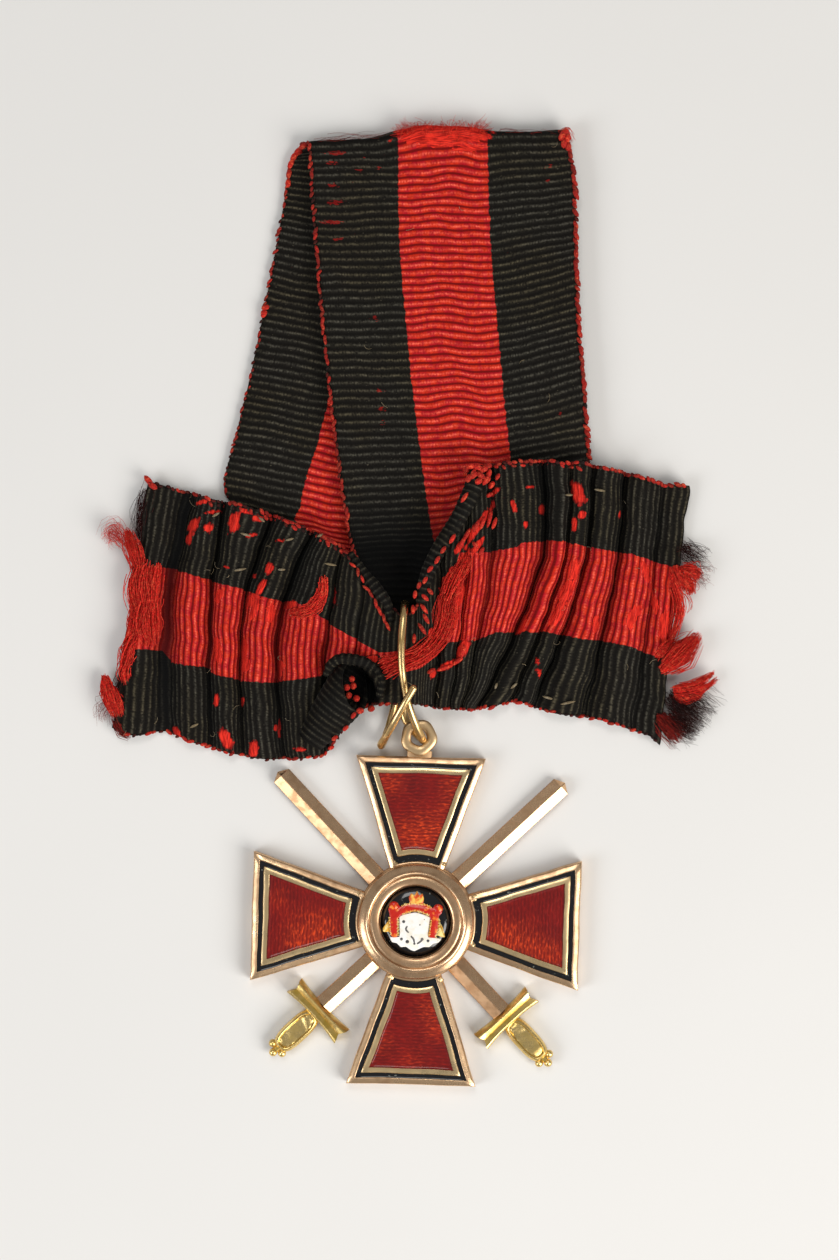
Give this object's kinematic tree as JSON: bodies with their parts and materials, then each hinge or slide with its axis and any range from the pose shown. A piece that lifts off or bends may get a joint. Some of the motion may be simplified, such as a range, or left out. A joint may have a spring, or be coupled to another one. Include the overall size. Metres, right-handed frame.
{
  "type": "order badge",
  "caption": "Enamelled gold cross badge with crossed swords on a wire ring, hung from a folded striped silk ribbon with a frayed bow, worn pinned to the chest.",
  "frame": {"origin": "centre of the cross, on its flat back", "axes": "+Y from the cross up to the top fold of the ribbon, +Z out of the enamelled face, +X to the right as seen from the front; it lies on its back on the XY plane"},
  "size_m": [0.0651, 0.1013, 0.007],
  "materials": {
    "rose_gold": "worn rose gold, half polished, with fine scratches",
    "yellow_gold": "yellower gold, half polished",
    "red_enamel": "glossy, translucent over an engraved floor",
    "black_enamel": "glossy",
    "white_enamel": "glossy",
    "silk_ribbon": "ribbed silk, black with a red middle stripe"
  },
  "bodies": {
    "root": {"cross_frame": "rose_gold", "red_enamel_top": "red_enamel", "red_enamel_right": "red_enamel", "red_enamel_bottom": "red_enamel", "red_enamel_left": "red_enamel", "black_enamel_top": "black_enamel", "black_enamel_right": "black_enamel", "black_enamel_bottom": "black_enamel", "black_enamel_left": "black_enamel", "centre_bezel": "rose_gold", "centre_disc": "black_enamel", "emblem_lining": "white_enamel", "emblem_mantle": "red_enamel", "emblem_crown": "yellow_gold", "emblem_fringe_left": "yellow_gold", "emblem_fringe_right": "yellow_gold", "blade_right": "rose_gold", "blade_left": "rose_gold", "hilt_right": "yellow_gold", "hilt_left": "yellow_gold", "suspension_ring": "rose_gold", "ribbon_loop": "silk_ribbon", "bow": "silk_ribbon"}
  },
  "joints": []
}
